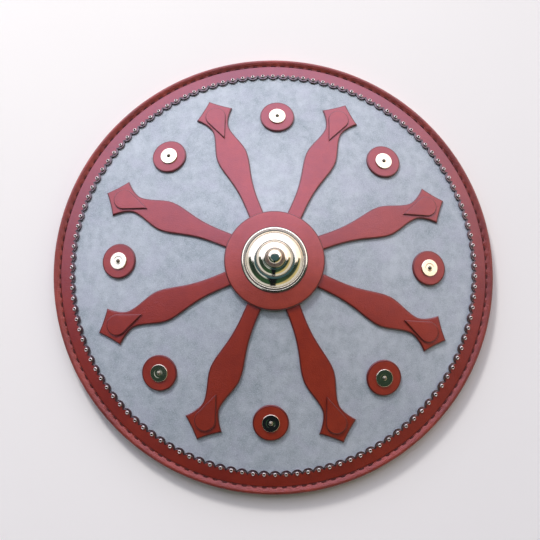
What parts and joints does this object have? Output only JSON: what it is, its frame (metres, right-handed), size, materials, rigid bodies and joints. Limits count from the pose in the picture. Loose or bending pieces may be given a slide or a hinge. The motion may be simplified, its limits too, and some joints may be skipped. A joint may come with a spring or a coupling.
{
  "type": "round shield",
  "caption": "Round dished shield faced with suede, with leather strapwork, a scalloped leather rim, brass studs and a stepped brass boss.",
  "frame": {"origin": "on the floor under the centre of the shield, which lies face up on its rim", "axes": "+Z along the shield's axis, out of its face, +Y towards the top of the face, +X towards the right seen from the front"},
  "size_m": [0.6, 0.6, 0.1008],
  "materials": {
    "wood": "dark stained, satin",
    "suede": "blue-grey suede, matt",
    "leather": "red-brown, burnished, dark edges",
    "brass": "polished",
    "strap_leather": "dark brown, plain",
    "iron": "blackened"
  },
  "bodies": {
    "root": {"shield_board": "wood", "suede_face": "suede", "rim_binding": "leather", "scalloped_band": "leather", "leather_arm_1": "leather", "leather_arm_2": "leather", "leather_arm_3": "leather", "leather_arm_4": "leather", "leather_arm_5": "leather", "leather_arm_6": "leather", "leather_arm_7": "leather", "leather_arm_8": "leather", "teardrop_1": "leather", "teardrop_2": "leather", "teardrop_3": "leather", "teardrop_4": "leather", "teardrop_5": "leather", "teardrop_6": "leather", "teardrop_7": "leather", "teardrop_8": "leather", "stud_washer_1": "leather", "stud_washer_2": "leather", "stud_washer_3": "leather", "stud_washer_4": "leather", "stud_washer_5": "leather", "stud_washer_6": "leather", "stud_washer_7": "leather", "stud_washer_8": "leather", "brass_stud_1": "brass", "brass_stud_2": "brass", "brass_stud_3": "brass", "brass_stud_4": "brass", "brass_stud_5": "brass", "brass_stud_6": "brass", "brass_stud_7": "brass", "brass_stud_8": "brass", "centre_disc": "leather", "brass_boss": "brass", "forearm_strap": "strap_leather", "hand_grip": "strap_leather", "strap_rivet_1": "iron", "strap_rivet_2": "iron", "strap_rivet_3": "iron", "strap_rivet_4": "iron"}
  },
  "joints": []
}
